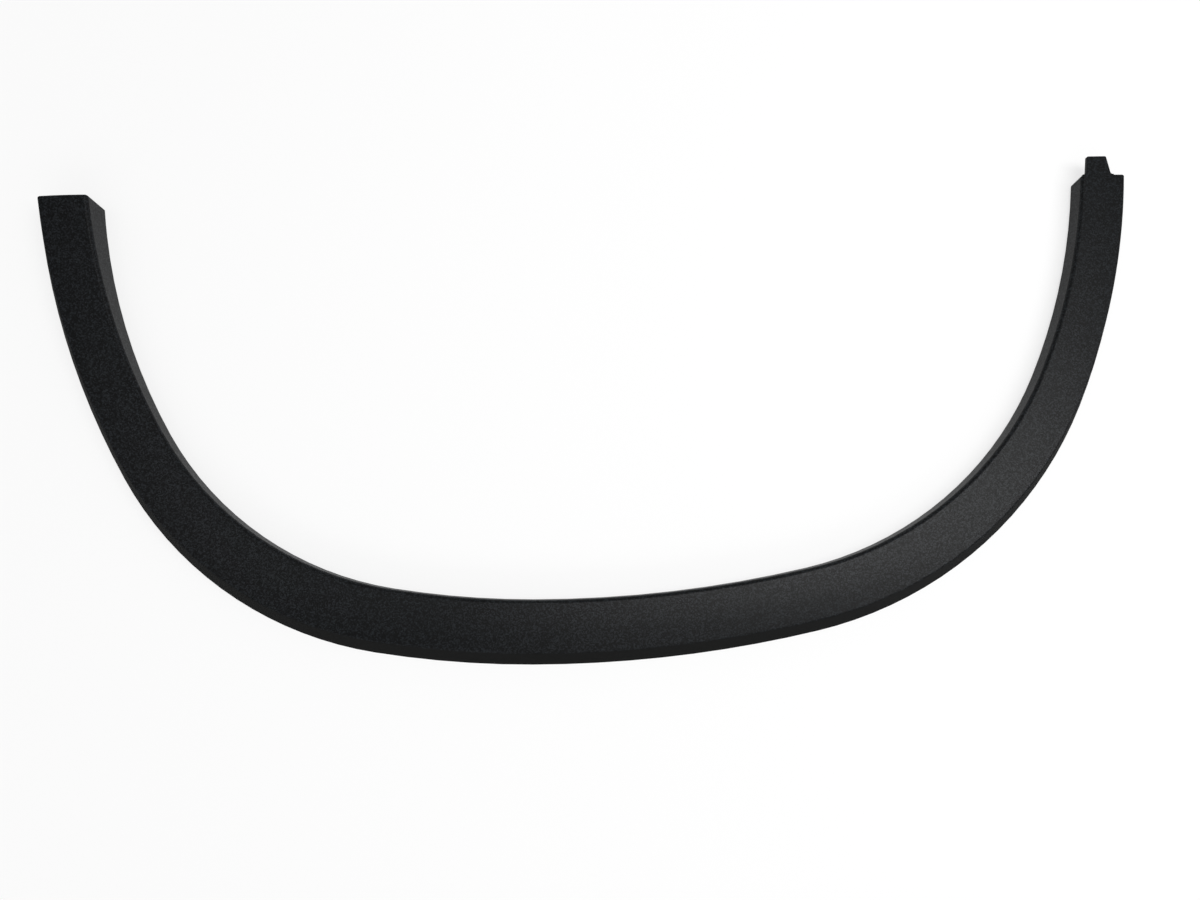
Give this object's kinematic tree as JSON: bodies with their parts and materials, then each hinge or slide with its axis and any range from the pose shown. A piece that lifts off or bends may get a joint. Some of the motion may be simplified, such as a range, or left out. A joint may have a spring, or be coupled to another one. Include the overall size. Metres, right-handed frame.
{
  "type": "wheel arch trim",
  "caption": "Hollow-backed moulded trim that frames a wheel arch: a gently crowned face with a leaning rim, an inner return flange, clip seats behind and a locating tab at one end.",
  "frame": {"origin": "centre of the part's box, on the plane that the foot of the rim lies on", "axes": "+X along the vehicle towards the end with the locating tab, +Y down the legs of the arch, +Z away from the body, out of the face"},
  "size_m": [0.9395, 0.4321, 0.0311],
  "materials": {
    "trim_plastic": "black moulded polypropylene with a fine grain"
  },
  "bodies": {
    "root": {"arch_trim": "trim_plastic"}
  },
  "joints": []
}
